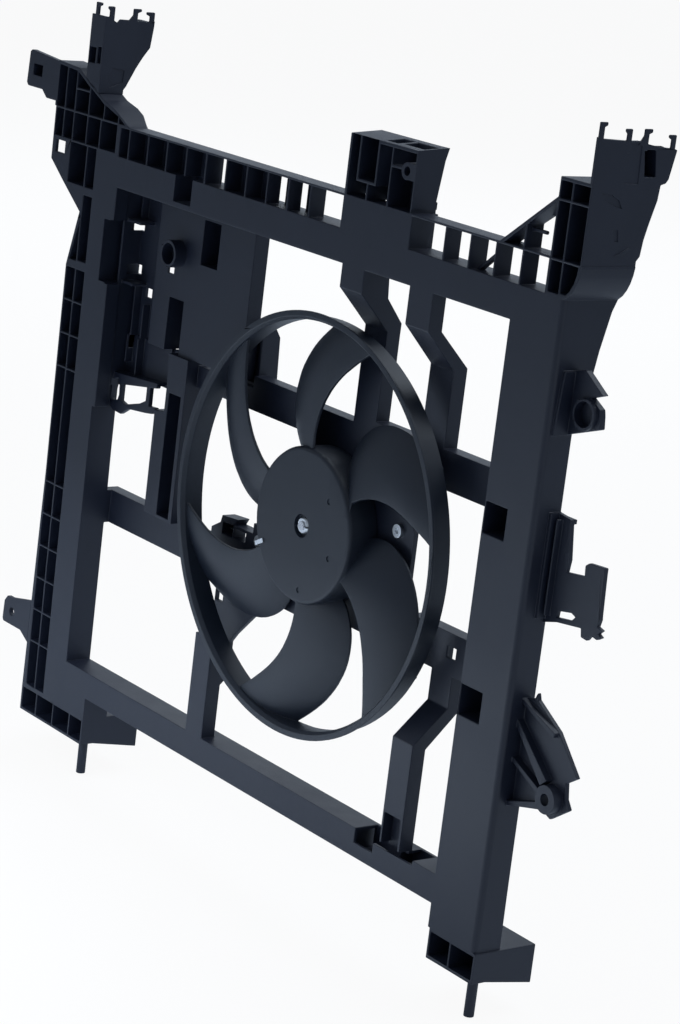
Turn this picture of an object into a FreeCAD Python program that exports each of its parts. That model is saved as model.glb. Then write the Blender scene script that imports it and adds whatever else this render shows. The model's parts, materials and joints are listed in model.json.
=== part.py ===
import FreeCAD, Part
import math
import os
import Sketcher

# Radiator cooling fan: a wide moulded front panel that carries one axial fan on an electric motor.
# Row frame: X to the right, Y backwards away from the fan side, Z up, millimetres.
# Pieces are drawn about the fan axis, with Y = 0 in the panel's front face, and are then moved
# so that the origin lies midway between the two locating pegs, at the underside of the feet.

SIZES = (
    ("FanAxisHeight", 310.6, "fan axis above the underside of the feet"),
    ("FrameDepth", 28.0, "depth of the panel's box sections"),
    ("Wall", 3.0, "moulded wall"),
    ("Rib", 2.0, "moulded rib"),
    ("WindowLeft", -351.0, "left side of the open window"),
    ("WindowRight", 242.0, "right side of the open window"),
    ("WindowTop", 238.5, "top of the open window"),
    ("WindowBottom", -236.0, "bottom of the open window"),
    ("BandWidth", 35.0, "smooth band of the left post"),
    ("FlangeWidth", 37.0, "ribbed flange outside the left band"),
    ("RightPostWidth", 62.0, "front face of the right post"),
    ("TopFaceHeight", 29.5, "smooth face of the top beam"),
    ("RibRowHeight", 29.5, "ribbed row on the top beam"),
    ("RowDepth", 21.0, "depth of the ribbed row"),
    ("BottomFaceHeight", 26.5, "face of the bottom beam"),
    ("FootHeight", 27.0, "height of the feet"),
    ("FootDepth", 66.0, "depth of the feet"),
    ("LeftFootWidth", 117.0, "width of the left foot"),
    ("RightFootWidth", 62.0, "width of the right foot"),
    ("PegLength", 32.0, "locating peg below the foot"),
    ("PegRadius", 4.5, "locating peg"),
    ("PegBack", 9.0, "peg axis behind the front face"),
    ("PegInset", 8.0, "peg axis in from the foot's right side"),
    ("RingRadius", 190.0, "fan ring, outside"),
    ("RingDepth", 23.0, "fan ring along the axis"),
    ("RingWall", 2.8, "fan ring wall"),
    ("LipWidth", 8.0, "flared lip at the front of the ring"),
    ("RingFront", -2.0, "front edge of the ring"),
    ("HubRadius", 70.5, "fan hub, outside"),
    ("HubFront", 2.0, "front face of the hub"),
    ("HubRecess", 10.5, "recess for the clip in the hub"),
    ("HubDepth", 30.0, "hub along the axis"),
    ("BladeThickness", 2.6, "blade"),
    ("ShaftRadius", 4.0, "motor shaft"),
    ("RunningClearance", 0.05, "radial clearance of the shaft in its bearings"),
    ("CarrierFront", 33.0, "front face of the rails and the motor carrier"),
    ("CarrierDepth", 15.0, "depth of the rails and struts"),
    ("CarrierPlate", 5.0, "plate that holds the motor"),
    ("FlangeThickness", 4.0, "motor flange"),
    ("CanRadius", 54.0, "motor can, outside"),
    ("CanWall", 2.0, "motor can wall"),
    ("CanFront", 11.0, "front face of the motor can"),
    ("CanLength", 52.0, "motor can along the axis"),
    ("MagnetThickness", 6.0, "field magnets"),
    ("AirGap", 1.0, "gap between the armature and the magnets"),
    ("CoreLength", 24.0, "armature core along the axis"),
    ("CommutatorRadius", 12.0, "commutator"),
    ("BearingRadius", 11.0, "bearings, outside"),
    ("BearingWidth", 7.0, "bearings along the axis"),
    ("SeatClearance", 0.05, "clearance where one piece seats in another"),
    ("ScrewRadius", 3.0, "motor screws"),
)

doc = FreeCAD.newDocument("CoolingFan")
sheet = doc.addObject("Spreadsheet::Sheet", "sizes")


class Size:
    """A length that keeps its value and its formula in the sheet."""

    def __init__(self, value, text):
        self.value = value
        self.text = text

    def __add__(self, other):
        other = size(other)
        return Size(self.value + other.value, f"({self.text} + {other.text})")

    def __radd__(self, other):
        return size(other) + self

    def __sub__(self, other):
        other = size(other)
        return Size(self.value - other.value, f"({self.text} - {other.text})")

    def __rsub__(self, other):
        return size(other) - self

    def __mul__(self, other):
        other = size(other)
        return Size(self.value * other.value, f"({self.text} * {other.text})")

    def __rmul__(self, other):
        return size(other) * self

    def __truediv__(self, other):
        other = size(other)
        return Size(self.value / other.value, f"({self.text} / {other.text})")

    def __rtruediv__(self, other):
        return size(other) / self

    def __neg__(self):
        return Size(-self.value, f"(0 - {self.text})")


def size(number):
    """Wraps a plain number."""
    if isinstance(number, Size):
        return number
    return Size(float(number), f"({float(number):.6f})")


class Sheet:
    """Names of the sheet as attributes."""


s = Sheet()
for row, (alias, number, note) in enumerate(SIZES, start=1):
    sheet.set(f"A{row}", note)
    sheet.set(f"B{row}", str(number))
    sheet.setAlias(f"B{row}", alias)
    setattr(s, alias, Size(number, f"sizes.{alias}"))
doc.recompute()

PLANES = {"front": "XZ_Plane", "side": "YZ_Plane", "top": "XY_Plane"}
parts = []

band_left = s.WindowLeft - s.BandWidth
flange_left = band_left - s.FlangeWidth
post_right = s.WindowRight + s.RightPostWidth
face_top = s.WindowTop + s.TopFaceHeight
row_top = face_top + s.RibRowHeight
face_bottom = s.WindowBottom - s.BottomFaceHeight
foot_bottom = -s.FanAxisHeight
foot_top = foot_bottom + s.FootHeight
left_foot_right = flange_left - 5 + s.LeftFootWidth
right_foot_left = s.WindowRight + 2
right_foot_right = right_foot_left + s.RightFootWidth
left_peg = left_foot_right - s.PegInset
right_peg = right_foot_right - s.PegInset
datum_x = -(left_peg + right_peg) / 2
datum_y = -s.PegBack


def bind(item, name, length):
    """Ties a property to the sheet."""
    item.setExpression(name, size(length).text)


def to_datum(item):
    """Moves a piece from the fan axis to the row origin."""
    bind(item, "Placement.Base.x", datum_x)
    bind(item, "Placement.Base.y", datum_y)
    bind(item, "Placement.Base.z", s.FanAxisHeight)


def new_body(label):
    """A piece made of sketches and features."""
    body = doc.addObject("PartDesign::Body", label)
    body.Label = label
    to_datum(body)
    parts.append(body)
    return body


def sketch_on(body, plane, level):
    """A sketch on one of the body's own planes, at a level along the row axis."""
    sketch = body.newObject("Sketcher::SketchObject", body.Name + "_sketch")
    support = [item for item in body.Origin.OriginFeatures if item.Role == PLANES[plane]][0]
    sketch.AttachmentSupport = (support, [""])
    sketch.MapMode = "FlatFace"
    level = -size(level) if plane == "front" else size(level)
    bind(sketch, "AttachmentOffset.Base.z", level)
    return sketch


def draw_polygon(sketch, points):
    """A closed outline whose corners are all tied to the sheet."""
    points = [(size(x), size(y)) for x, y in points]
    first = sketch.GeometryCount
    count = len(points)
    for index, (x, y) in enumerate(points):
        next_x, next_y = points[(index + 1) % count]
        start = FreeCAD.Vector(x.value, y.value, 0)
        end = FreeCAD.Vector(next_x.value, next_y.value, 0)
        sketch.addGeometry(Part.LineSegment(start, end))
    for index in range(count):
        after = first + (index + 1) % count
        sketch.addConstraint(Sketcher.Constraint("Coincident", first + index, 2, after, 1))
    for index, (x, y) in enumerate(points):
        for kind, length in (("DistanceX", x), ("DistanceY", y)):
            number = sketch.addConstraint(Sketcher.Constraint(kind, first + index, 1, length.value))
            bind(sketch, f"Constraints[{number}]", length)


def draw_circle(sketch, x, y, radius):
    """A circle whose centre and radius are tied to the sheet."""
    x, y, radius = size(x), size(y), size(radius)
    centre = FreeCAD.Vector(x.value, y.value, 0)
    circle = sketch.addGeometry(Part.Circle(centre, FreeCAD.Vector(0, 0, 1), radius.value))
    for kind, length in (("DistanceX", x), ("DistanceY", y)):
        number = sketch.addConstraint(Sketcher.Constraint(kind, circle, 3, length.value))
        bind(sketch, f"Constraints[{number}]", length)
    number = sketch.addConstraint(Sketcher.Constraint("Radius", circle, radius.value))
    bind(sketch, f"Constraints[{number}]", radius)


def draw(sketch, shapes):
    """Outlines are lists of corners, circles are (x, y, radius)."""
    for shape in shapes:
        if isinstance(shape, tuple):
            draw_circle(sketch, *shape)
        else:
            draw_polygon(sketch, shape)


def rect(left, right, low, high):
    """Corners of an upright rectangle."""
    return [(left, low), (right, low), (right, high), (left, high)]


def add(body, plane, start, length, *shapes):
    """Material from a level, in the positive direction."""
    sketch = sketch_on(body, plane, start)
    draw(sketch, shapes)
    pad = body.newObject("PartDesign::Pad", body.Name + "_pad")
    pad.Profile = sketch
    pad.Reversed = plane == "front"
    bind(pad, "Length", length)
    return pad


def cut(body, plane, start, length, *shapes):
    """A pocket from a level, in the positive direction."""
    sketch = sketch_on(body, plane, start)
    draw(sketch, shapes)
    pocket = body.newObject("PartDesign::Pocket", body.Name + "_pocket")
    pocket.Profile = sketch
    pocket.Reversed = plane != "front"
    bind(pocket, "Length", length)
    return pocket


def cells(edges, low, high):
    """Pockets between ribs centred on a row of places."""
    half = s.Rib / 2
    return [rect(a + half, b - half, low, high) for a, b in zip(edges, edges[1:])]


def stacks(edges, left, right):
    """Pockets between level ribs centred on a column of heights."""
    half = s.Rib / 2
    return [rect(left, right, a + half, b - half) for a, b in zip(edges, edges[1:])]


def steps(start, pitch, count):
    """Evenly spaced places."""
    return [start + pitch * index for index in range(count)]


def left_post():
    """Smooth band with a ribbed flange outside it, and the plate with the slot."""
    body = new_body("left_post")
    notch = flange_left + 15
    shoulder = flange_left - 45
    outline = [
        (s.WindowLeft, foot_top), (flange_left - 5, foot_top), (flange_left, -60), (flange_left, 150),
        (notch, 204), (flange_left - 20, 228), (shoulder, 246), (shoulder, row_top),
        (s.WindowLeft, row_top),
    ]
    add(body, "front", 0, s.FrameDepth, outline)
    inner = band_left - s.Rib
    middle = band_left - s.FlangeWidth / 2
    outer = flange_left + s.Rib
    half = s.Rib / 2
    lower = [foot_top + half] + steps(size(-235.5), 33.3, 6)
    upper = [size(49), size(82.5), size(116), size(149)]
    rows = [(lower + upper, outer, middle - half), (lower + upper, middle + half, inner)]
    pockets = []
    for edges, left, right in rows:
        pockets += stacks(edges, left, right)
    corner = stacks([size(156), size(222)], middle + half, inner)
    shelf = face_top + half
    for left, right in ((flange_left - 12, middle - half), (middle + half, inner)):
        corner += stacks([size(228), shelf], left, right)
    uprights = [shoulder + half, size(-452), size(-434), size(-409), band_left + half, size(-355)]
    corner += cells(uprights, shelf + half, row_top - half)
    corner.append([(outer + 3, 156), (middle - half, 156), (middle - half, 196)])
    cut(body, "front", 0, s.FrameDepth - s.Wall, *pockets, *corner)
    slot_plate = rect(shoulder - 1, flange_left - 15, 232, shelf - half)
    cut(body, "front", 4, s.FrameDepth, slot_plate)
    cut(body, "front", 0, s.FrameDepth, rect(flange_left - 39, flange_left - 22, 254, 266))
    backs = stacks([foot_top + half] + steps(foot_top + 60, 61, 6), band_left + s.Wall, s.WindowLeft - s.Wall)
    cut(body, "front", s.Wall, s.FrameDepth, *backs)
    cut(body, "front", 0, s.FrameDepth - s.Wall, rect(s.WindowLeft - 11, s.WindowLeft, 146, 206))
    return body


def row_end(right):
    """Where the corner's rear runs forward to the shallower row, seen from above."""
    return [(-356, 28.5), (-343.4, 24), (-334, s.RowDepth), (right, s.RowDepth), (right, 29), (-356, 29)]


def upper_left_corner():
    """Ribbed block under the left horn, sloping down to the top beam."""
    body = new_body("upper_left_corner")
    last = [(-354, row_top + s.Rib / 2), (-343, row_top + s.Rib / 2), (-354, 304)]
    left = flange_left - 47
    low = row_top + s.Rib / 2
    outline = [
        (left, row_top), (-334, row_top), (-340, 300), (-348, 304), (-366, 312), (-385, 316.5), (-410, 328),
        (-432, 340), (left, 342),
    ]
    add(body, "front", 0, s.FrameDepth, outline)
    shapes = [
        [(left + 3, low), (-453, low), (-453, 337.5), (left + 3, 338.5)],
        [(-451, low), (-435, low), (-435, 336.5), (-451, 337.5)],
        [(-433, low), (-410, low), (-410, 319), (-433, 319)],
        [(-433, 321), (-410, 321), (-410, 324.5), (-433, 336)],
        [(-408, low), (-382, low), (-382, 312), (-408, 324)],
        [(-380, low), (-356, low), (-356, 305), (-380, 312)],
    ]
    cut(body, "front", 0, s.FrameDepth - s.Wall, *shapes)
    cut(body, "front", 0, s.RowDepth - s.Wall, last)
    cut(body, "top", row_top - 1, 60, row_end(-320))
    return body


def hook(place, base, tip, lean):
    """Outline of one upright hook on a horn: a stem with a small overhanging tip."""
    half = 2.4
    side = half if lean > 0 else -half
    corners = [
        (place - side, base), (place + side, base), (place + side, tip - 4), (place + side + lean, tip - 2.5),
        (place + side + lean, tip), (place - side, tip),
    ]
    return corners if lean > 0 else corners[::-1]


def left_horn():
    """Hollow upright on the upper left corner with four hooks along its top."""
    body = new_body("left_horn")
    left, right = size(-419), size(-394)
    side = [
        (0, 342), (28, 342), (28, 325), (30.4, 328), (34.2, 335), (39.8, 345.8), (46.5, 356.7), (53.9, 366.6),
        (55.8, 384), (56, 390.7), (39, 391.8), (17, 392.2), (14.1, 388.8), (10.5, 390.5), (5.6, 394), (0, 394.4),
    ]
    add(body, "side", left, right - left, side)
    seat = [(left, 342), (left, 332.91), (-410, 328), (right, 320.76), (right, 342)]
    add(body, "front", 0, s.FrameDepth, seat)
    cut(body, "side", left - 1, right - left - 2, [(3, 366), (50, 366), (49, 400), (3, 400)])
    cut(body, "front", 0, 22, rect(left + 2, left + 13, 348, 363), rect(left + 16, right - 2.5, 349, 364.5))
    cut(body, "side", right - 1, 2, [(12, 327), (26, 332), (27, 344), (14, 346), (8, 338)])
    add(body, "front", 0, 3, hook(-411, 390, 406, 4))
    for place, lean, tip in ((7.5, -2, 404), (34, 4, 403), (53, -4, 400.5)):
        add(body, "side", right - 3, 3, hook(place, 386, tip, lean))
    add(body, "side", right - 3, 3, [(26, 390), (32, 390), (32, 397)])
    return body


def sight_slit(left, right, depth, low, high):
    """Opening through the rear of the row that is clear along a slanted line of sight."""
    slant = 1.27
    return rect(left - slant * s.RowDepth, right - slant * depth, low, high)


def top_beam():
    """Smooth face with an open ribbed row above it."""
    body = new_body("top_beam")
    right = size(280)
    outline = [
        (s.WindowLeft, s.WindowTop), (s.WindowRight, s.WindowTop), (s.WindowRight, face_top - 1),
        (right, face_top - 1), (right, row_top), (s.WindowLeft, row_top),
    ]
    add(body, "front", 0, s.FrameDepth, outline)
    low, high = face_top, row_top - s.Rib
    left_row = [s.WindowLeft + s.Rib / 2] + steps(size(-333), 32.5, 10)
    cut(body, "front", 0, s.RowDepth - s.Wall, *cells(left_row, low, high))
    cut(body, "front", 0, s.FrameDepth, rect(-39.5, 7, low, high))
    for start, end, depth in ((-178, -174, 17), (-86, -82, 15), (-54, -50, 15), (-24, 6, 17)):
        cut(body, "front", depth, s.FrameDepth, sight_slit(size(start), size(end), depth, low, high))
    tower_side = size(101)
    right_row = [tower_side + 2 - s.Rib / 2, size(149), size(182), size(214.5), size(247.5), right]
    cut(body, "front", 0, s.FrameDepth, *cells(right_row, low, high))
    cut(body, "side", tower_side - 1, 4, [(20.5, low), (25.5, high), (29, high), (29, low)])
    for place, depth in ((149, 17), (182, 19), (214.5, 18), (247.5, 17.5)):
        cut(body, "front", depth, s.FrameDepth, rect(size(place) - 3, size(place) + 3, low, high))
    add(body, "front", 8, 6, [(183, low - 1), (187, low - 1), (215, low + 22), (211, low + 22)])
    face_hole = rect(s.WindowLeft + 101.5, s.WindowLeft + 129.5, s.WindowTop + 5, face_top + 1)
    cut(body, "front", 0, s.FrameDepth - s.Wall, face_hole)
    backs = cells(steps(s.WindowLeft + 5, 58, 2), s.WindowTop + s.Wall, face_top - s.Wall)
    backs += cells(steps(size(-218), 57.5, 9), s.WindowTop + s.Wall, face_top - s.Wall)
    cut(body, "front", s.Wall, s.FrameDepth, *backs)
    behind = (rect(-330, 60, low, row_top + 1), rect(tower_side + 2, right + 1, low, row_top + 1))
    cut(body, "front", s.RowDepth, s.FrameDepth, *behind)
    cut(body, "top", low, 60, row_end(-329))
    return body


def horn_gusset():
    """Three-cornered brace of thin ribs between the top beam and the right horn."""
    body = new_body("horn_gusset")
    right = size(280)
    base = row_top
    rim = [(217, base), (223, base), (right, 341), (right, 345)]
    add(body, "front", 0, 18, rim)
    add(body, "front", 0, 18, [(246.5, base), (248.5, base), (248.5, 319.5), (246.5, 318)])
    add(body, "side", 258, right - 258, [(1, 343), (4, 343), (17, 326), (14, 326)])
    trim = [(250, 319), (right + 1, 342), (right + 1, 380), (215, 380), (215, base)]
    cut(body, "front", -1, 30, trim)
    add(body, "front", 0, 18, rim)
    add(body, "front", 6, 3, [(247, base + 14), (266, base + 14), (266, base + 17), (247, base + 17)])
    return body


def centre_tower():
    """Ribbed box above the top beam with a U-shaped rib and a screw boss."""
    body = new_body("centre_tower")
    left, right, top = size(7), size(101), size(350)
    depth = s.FrameDepth - 1
    side = [
        (0, row_top), (depth, row_top), (depth, 307), (depth - 1.5, 307.5), (30, 342), (33, top + 3),
        (0, top),
    ]
    add(body, "side", left, right - left, side)
    low = row_top
    shapes = [
        [(left + 3, low), (36.5, low), (36.5, 311), (21, 311), (21, top), (left + 3, top)],
        rect(23.5, 46.5, 313.5, top),
        [(38.5, low), (66, low), (66, top - 3), (49, top - 3), (49, 311), (38.5, 311)],
        rect(68, 99, low, top - 3),
    ]
    cut(body, "front", 0, depth - s.Wall, *shapes)
    cut(body, "top", top - 30, 40, rect(50, 65.5, 6, 24), rect(69, right - 3, 9, 24))
    boss = s.FrameDepth - s.Wall - 1
    add(body, "front", 0, boss, (89, 331, 7.5))
    add(body, "front", 0, boss, rect(92, 100, 324, 338), rect(67, 83, 331, 333))
    cut(body, "front", 0, 14, (89, 331, 4))
    cut(body, "side", right - 0.8, 2, [(-1, 301), (depth + 9, 301), (depth + 9, 297.5), (-1, 297.5)])
    return body


def rounded(x, y, radius):
    """Corner points round a quarter circle, for the front right edge of an upright."""
    turns = [math.radians(15 * index) for index in range(7)]
    return [(x + radius * (math.sin(turn) - 1), y + radius * (1 - math.cos(turn))) for turn in turns]


def right_post():
    """Broad smooth post with two clip pockets at its inner edge."""
    body = new_body("right_post")
    section = [(s.WindowRight, s.FrameDepth), (s.WindowRight, 0)] + rounded(post_right, 0, 5.0)
    section.append((post_right, s.FrameDepth))
    add(body, "top", foot_top, face_top - 1 - foot_top, section)
    pockets = [rect(s.WindowRight + 1.6, s.WindowRight + 29, low, low + 26.5) for low in (62, -94)]
    cut(body, "front", 0, s.FrameDepth - s.Wall, *pockets)
    inner = (s.WindowRight + s.Wall, post_right - s.Wall)
    backs = stacks([foot_top + 2, size(-235), size(-165), size(-98)], *inner)
    backs += stacks([size(-64), size(0), size(58)], *inner)
    backs += stacks([size(92), size(165), size(238)], *inner)
    backs.append(rect(s.WindowRight + 33, post_right - s.Wall, -92, -70))
    backs.append(rect(s.WindowRight + 33, post_right - s.Wall, 64, 86))
    cut(body, "front", s.Wall, s.FrameDepth, *backs)
    return body


def right_horn():
    """Ribbed column on the right post, its deep side wall, and the upper wall with four hooks."""
    body = new_body("right_horn")
    left, right, base, top = size(280), size(318), face_top - 1, size(361)
    side = [
        (0, base), (57, base), (56.8, 294), (56.7, 300), (60.2, 304.2), (61.8, 317.8), (65.4, 332.2),
        (70.6, 349.7), (71.6, top), (0, top),
    ]
    add(body, "side", left, right - left, side)
    rear = [(s.FrameDepth, 165), (41, 203), (45, 226), (52.5, 257), (57, base), (s.FrameDepth, base)]
    add(body, "side", post_right - 16, 16, rear)
    shell = [(30, 297), (52.5, 297), (52.5, 303), (56, 307), (62, 332), (66, top - 4), (30, top - 4)]
    cut(body, "side", left - 1, right - left - 2, shell)
    cut(body, "side", left - 1, 22, rect(30, 50, base + 4, 293))
    curve = [
        (right + 1, 294), (right, 294), (317.3, 288), (315.5, 282), (312.5, 276), (308.8, 271),
        (post_right, base), (post_right, base - 2), (right + 1, base - 2),
    ]
    cut(body, "front", -1, 90, curve)
    mid_left, mid_right = size(295), size(297)
    columns = [rect(left + 2, mid_left, low, high) for low, high in ((base + 3, 295), (297, 342), (344, top - 3))]
    columns += [rect(mid_right, right - 2, low, high) for low, high in ((297, 342), (344, top - 3))]
    columns.append([
        (mid_right, base + 4), (304, base + 4), (308, 275), (311.5, 281), (313.6, 288), (314.5, 295),
        (mid_right, 295),
    ])
    cut(body, "front", 0, 26, *columns)
    wall = [
        (0, top), (71.6, top), (76.6, 362.5), (79.2, 365.7), (80.9, 373.7), (84.2, 389.6), (76.4, 390.6),
        (64.5, 391.5), (53.6, 393.2), (42.5, 395.7), (31, 395.4), (6.9, 396.4), (0, 397.5),
    ]
    add(body, "side", right - 3.5, 3.5, wall)
    add(body, "front", 46, 22, rect(right - 17, right - 3, top, 391))
    cut(body, "side", right - 15, 16, [(53, 367.5), (64.5, 367.5), (61, 389), (49.5, 389)])
    cut(body, "side", right - 0.6, 1, [(32, 362), (47, 362), (46, 394), (31, 394)])
    dent = [(10.6, 354.5), (21.3, 353.1), (29.3, 349.2), (33.8, 342.2), (27.2, 343.7), (15.9, 348.3)]
    cut(body, "side", right - 1, 2, dent)
    cut(body, "side", right - 0.8, 2, [(27.5, 325.6), (32.8, 325.6), (34.6, 316.1), (30.3, 316.1)])
    add(body, "side", right - 0.5, 1.3, [(32.4, 305), (42.7, 306.6), (48.3, 310.6), (46, 311.4), (40.3, 308.2)])
    add(body, "side", right - 0.5, 1.1, [(0, 294), (56.5, 294), (56.5, 296.5), (0, 296.5)])
    for place, lean, tip in ((2.4, 3, 409.4), (49.6, 3.5, 405.2)):
        add(body, "side", right - 2, 2, hook(place, 388, tip, lean))
    for place, lean, tip in ((31.8, -2, 404.8), (79, -3, 401.2)):
        add(body, "side", right - 2, 2, hook(place, 386, tip, lean))
    add(body, "side", right - 2, 2, [(42, 392), (48, 392), (48, 401)])
    return body


def bottom_beam():
    """Plain beam that widens to the left foot."""
    body = new_body("bottom_beam")
    outline = [
        (s.WindowLeft, foot_top), (left_foot_right, foot_top), (left_foot_right, face_bottom),
        (s.WindowRight, face_bottom), (s.WindowRight, s.WindowBottom), (s.WindowLeft, s.WindowBottom),
    ]
    add(body, "front", 0, s.FrameDepth, outline)
    backs = cells(steps(s.WindowLeft + s.Rib / 2, 59, 11), face_bottom + s.Wall, s.WindowBottom - s.Wall)
    cut(body, "front", s.Wall, s.FrameDepth, *backs)
    return body


def foot(label, left, right, peg, ribs):
    """Hollow foot, open at the front, with a locating peg under its inner corner."""
    body = new_body(label)
    flat = s.PegBack + s.PegRadius + 1.5
    side = [
        (0, foot_top), (0, foot_bottom), (flat, foot_bottom), (s.FootDepth, foot_bottom - 8),
        (s.FootDepth, foot_top),
    ]
    add(body, "side", left, right - left, side)
    places = [left + s.Wall / 2] + ribs + [right - s.Wall / 2]
    cut(body, "front", 0, s.FootDepth - s.Wall - 20, *cells(places, foot_bottom + s.Wall, foot_top - s.Wall))
    add(body, "top", foot_bottom - s.PegLength, s.PegLength + 2, (peg, s.PegBack, s.PegRadius))
    return body


def rail(label, left, right, low, high, *blocks):
    """Flat box rail behind the panel, hollow at the back, with blocks that meet the panel."""
    body = new_body(label)
    add(body, "front", s.CarrierFront, s.CarrierDepth, rect(left, right, low, high))
    if blocks:
        add(body, "front", s.FrameDepth, s.CarrierFront - s.FrameDepth, *blocks)
    length = (right - left - s.Wall) / 3
    places = [left + s.Wall / 2 + length * index for index in range(4)]
    cut(body, "front", s.CarrierFront + s.Wall, s.CarrierDepth, *cells(places, low + s.Wall, high - s.Wall))
    return body


def rails():
    """Two upper and two lower rails beside the motor carrier."""
    inner = s.WindowRight + s.Wall
    outer = s.WindowRight + 20
    left = rail("upper_left_rail", -226, 16, 71, 92)
    add(left, "front", s.CarrierFront, s.CarrierDepth, rect(-137, -52, 92, 103), rect(-52, 16, 92, 98))
    rail("upper_right_rail", 16, outer, 71, 105, rect(s.WindowRight, outer, 90, 105))
    rail("lower_left_rail", s.WindowLeft - 12, -100, -95, -62,
         rect(s.WindowLeft - 12, s.WindowLeft, -95, -62))
    right = rail("lower_right_rail", 126, outer, -82, -45, rect(inner, outer, -66, -45))
    cut(right, "front", s.CarrierFront, s.CarrierDepth, rect(181, 193, -67, -57))


def strut(label, left, width, front, rear):
    """Strut that steps between the panel's plane and the carrier's plane, given by its side view."""
    body = new_body(label)
    add(body, "side", left, width, front + rear[::-1])
    return body


def struts():
    """Two struts down from the top beam and two up from the bottom beam."""
    far = s.CarrierFront
    back = s.CarrierFront + s.CarrierDepth
    top, low = s.WindowTop, s.WindowBottom
    strut("upper_inner_strut", 16, 32, [(0, top), (0, 218), (far, 185), (far, 105)],
          [(28, top), (30, 214), (back, 192), (back, 105)])
    strut("upper_outer_strut", 111, 32, [(0, top), (0, 206), (far, 172), (far, 105)],
          [(15, top), (15, 206), (back, 174), (back, 105)])
    strut("lower_right_strut", 164, 28, [(far, -82), (far, -110), (0, -140), (0, low)],
          [(back, -82), (back, -112), (15, -145), (15, low)])
    left = strut("lower_left_strut", -138, 27, [(0, -140), (0, low)], [(15, -140), (15, low)])
    add(left, "side", -138, 9, [(14, -156), (far + 6, -158), (far + 6, -182), (14, -206)])
    arm = [
        (-160, -95), (-93, -95), (-93, -112), (-121, -140), (-129, -150), (-129, -182), (-150, -182),
        (-160, -150),
    ]
    add(left, "front", far, s.CarrierPlate, arm)
    cut(left, "front", -5, 9.5, (0, 0, s.RingRadius + 2))
    cut(left, "front", 4, s.FrameDepth - 4, (0, 0, s.RingRadius - s.LipWidth + s.RingWall + 3))
    cut(left, "front", far - 1, s.CarrierPlate + 2, rect(-159, -147, -117, -107))


def motor_carrier():
    """Plate between the rails that holds the motor, stiffened along its lower edge."""
    body = new_body("motor_carrier")
    outline = [
        (-100, -95), (30, -95), (30, -82), (126, -82), (126, -45), (119, -38), (119, 24), (104, 45),
        (62, 71), (-48, 71), (-52, 56), (-66, 50), (-84, 40), (-100, 22), (-100, -30), (-112, -30),
        (-112, -62), (-100, -62),
    ]
    add(body, "front", s.CarrierFront, s.CarrierPlate, outline)
    rear = s.CarrierDepth - s.CarrierPlate
    walls = [
        [(-100, -95), (30, -95), (30, -92), (-100, -92)],
        [(31, -82), (126, -82), (126, -79), (31, -79)],
    ]
    add(body, "front", s.CarrierFront + s.CarrierPlate, rear, *walls)
    cut(body, "front", s.CarrierFront, s.CarrierDepth, (0, 0, s.CanRadius + 1))
    for x, z in SCREW_PLACES:
        cut(body, "front", s.CarrierFront, s.CarrierDepth, (x, z, s.ScrewRadius + 0.3))
    return body


# Motor screws, about the fan axis.
SCREW_PLACES = ((99.0, 21.0), (-98.0, -44.0), (4.0, -80.0))


def module_plate():
    """Stepped plate in the upper left of the window, with deep slots and a round boss."""
    body = new_body("module_plate")
    left, right = s.WindowLeft, size(-146)
    front = s.RingFront + s.RingDepth + 3
    rear = s.CarrierFront + s.CarrierPlate
    profile = [
        (left, front - 10), (left + 3, front - 10), (left + 3, rear - 3), (-306, rear - 3), (-302, front),
        (right, front), (right, rear + 2), (right - 3, rear + 2), (right - 3, front + 3), (-299, front + 3),
        (-303, rear), (left, rear),
    ]
    low, high = size(97), s.WindowTop
    add(body, "top", low, high - low, profile)
    deep = s.CarrierFront + 22
    add(body, "front", front + 2, deep - front - 2, rect(-231, -200, 186, 232), rect(-276, -247, low, 150))
    add(body, "front", front - 13, 14, (-265, 191, 13))
    cut(body, "front", front - 14, 13, (-265, 191, 10))
    cut(body, "front", front - 1, deep - front - 1, rect(-229, -202, 188, 230), rect(-274, -249, low - 1, 148))
    holes = [rect(-281, -271, 170, 176), rect(-330, -320, 136, 145)]
    holes += [rect(-350.5, -342, 155, 164), rect(left, -344, 197, 204)]
    cut(body, "front", front - 1, rear - front + 3, *holes)
    edge = s.Rib
    add(body, "front", 0, 15, rect(left, left + 5, 24, 145), rect(left, left + 5, 207, high))
    add(body, "front", rear - 11, 9, rect(-341, -341 + edge, 210, high), rect(-351, -351 + edge, 165, 180))
    add(body, "front", rear - 11, 9, rect(-339, -339 + edge, low, 149), rect(-322, -322 + edge, low, 130))
    add(body, "front", rear - 20, 18, rect(-349, -326, 206, 209), rect(-349, -330, 146, 149))
    return body


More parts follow.
